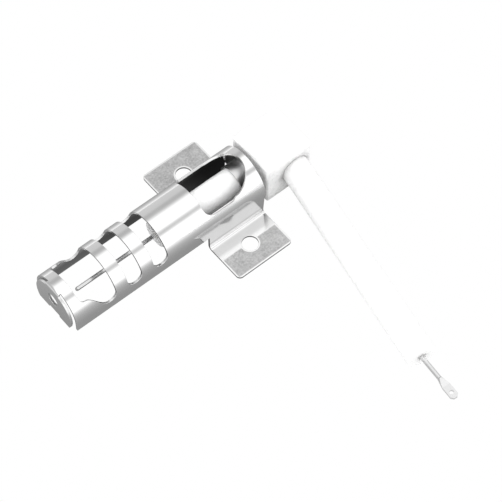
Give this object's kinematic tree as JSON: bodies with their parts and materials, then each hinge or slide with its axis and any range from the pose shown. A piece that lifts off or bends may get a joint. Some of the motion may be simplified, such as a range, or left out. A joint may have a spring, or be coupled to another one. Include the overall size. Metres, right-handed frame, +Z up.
{
  "type": "ignition electrode",
  "caption": "Ignition electrode for a burner: bent ceramic insulator with spark wire and blade terminal, in a slotted steel hood with mounting wings and spark target.",
  "frame": {"origin": "midway between the two wing holes, on the wings' mounting face", "axes": "+X along the hood from the spark target to the ceramic head, +Y across the wings away from the long arm, +Z up out of the mounting face"},
  "size_m": [0.0941, 0.1249, 0.02],
  "materials": {
    "hood": "bright pressed sheet",
    "retaining_clip": "bright pressed sheet",
    "insulator_rod": "glazed white",
    "insulator_head": "glazed white",
    "insulator_arm": "glazed white",
    "head_plug": "matt cement",
    "spark_wire": "drawn wire",
    "joint_sleeve": "turned",
    "terminal": "drawn wire, flattened end",
    "front_seal": "matt cement",
    "arm_seal": "matt cement"
  },
  "bodies": {
    "root": {"hood": "hood", "retaining_clip": "retaining_clip", "insulator_rod": "insulator_rod", "insulator_head": "insulator_head", "insulator_arm": "insulator_arm", "head_plug": "head_plug", "spark_wire": "spark_wire", "joint_sleeve": "joint_sleeve", "terminal": "terminal", "front_seal": "front_seal", "arm_seal": "arm_seal"}
  },
  "joints": []
}
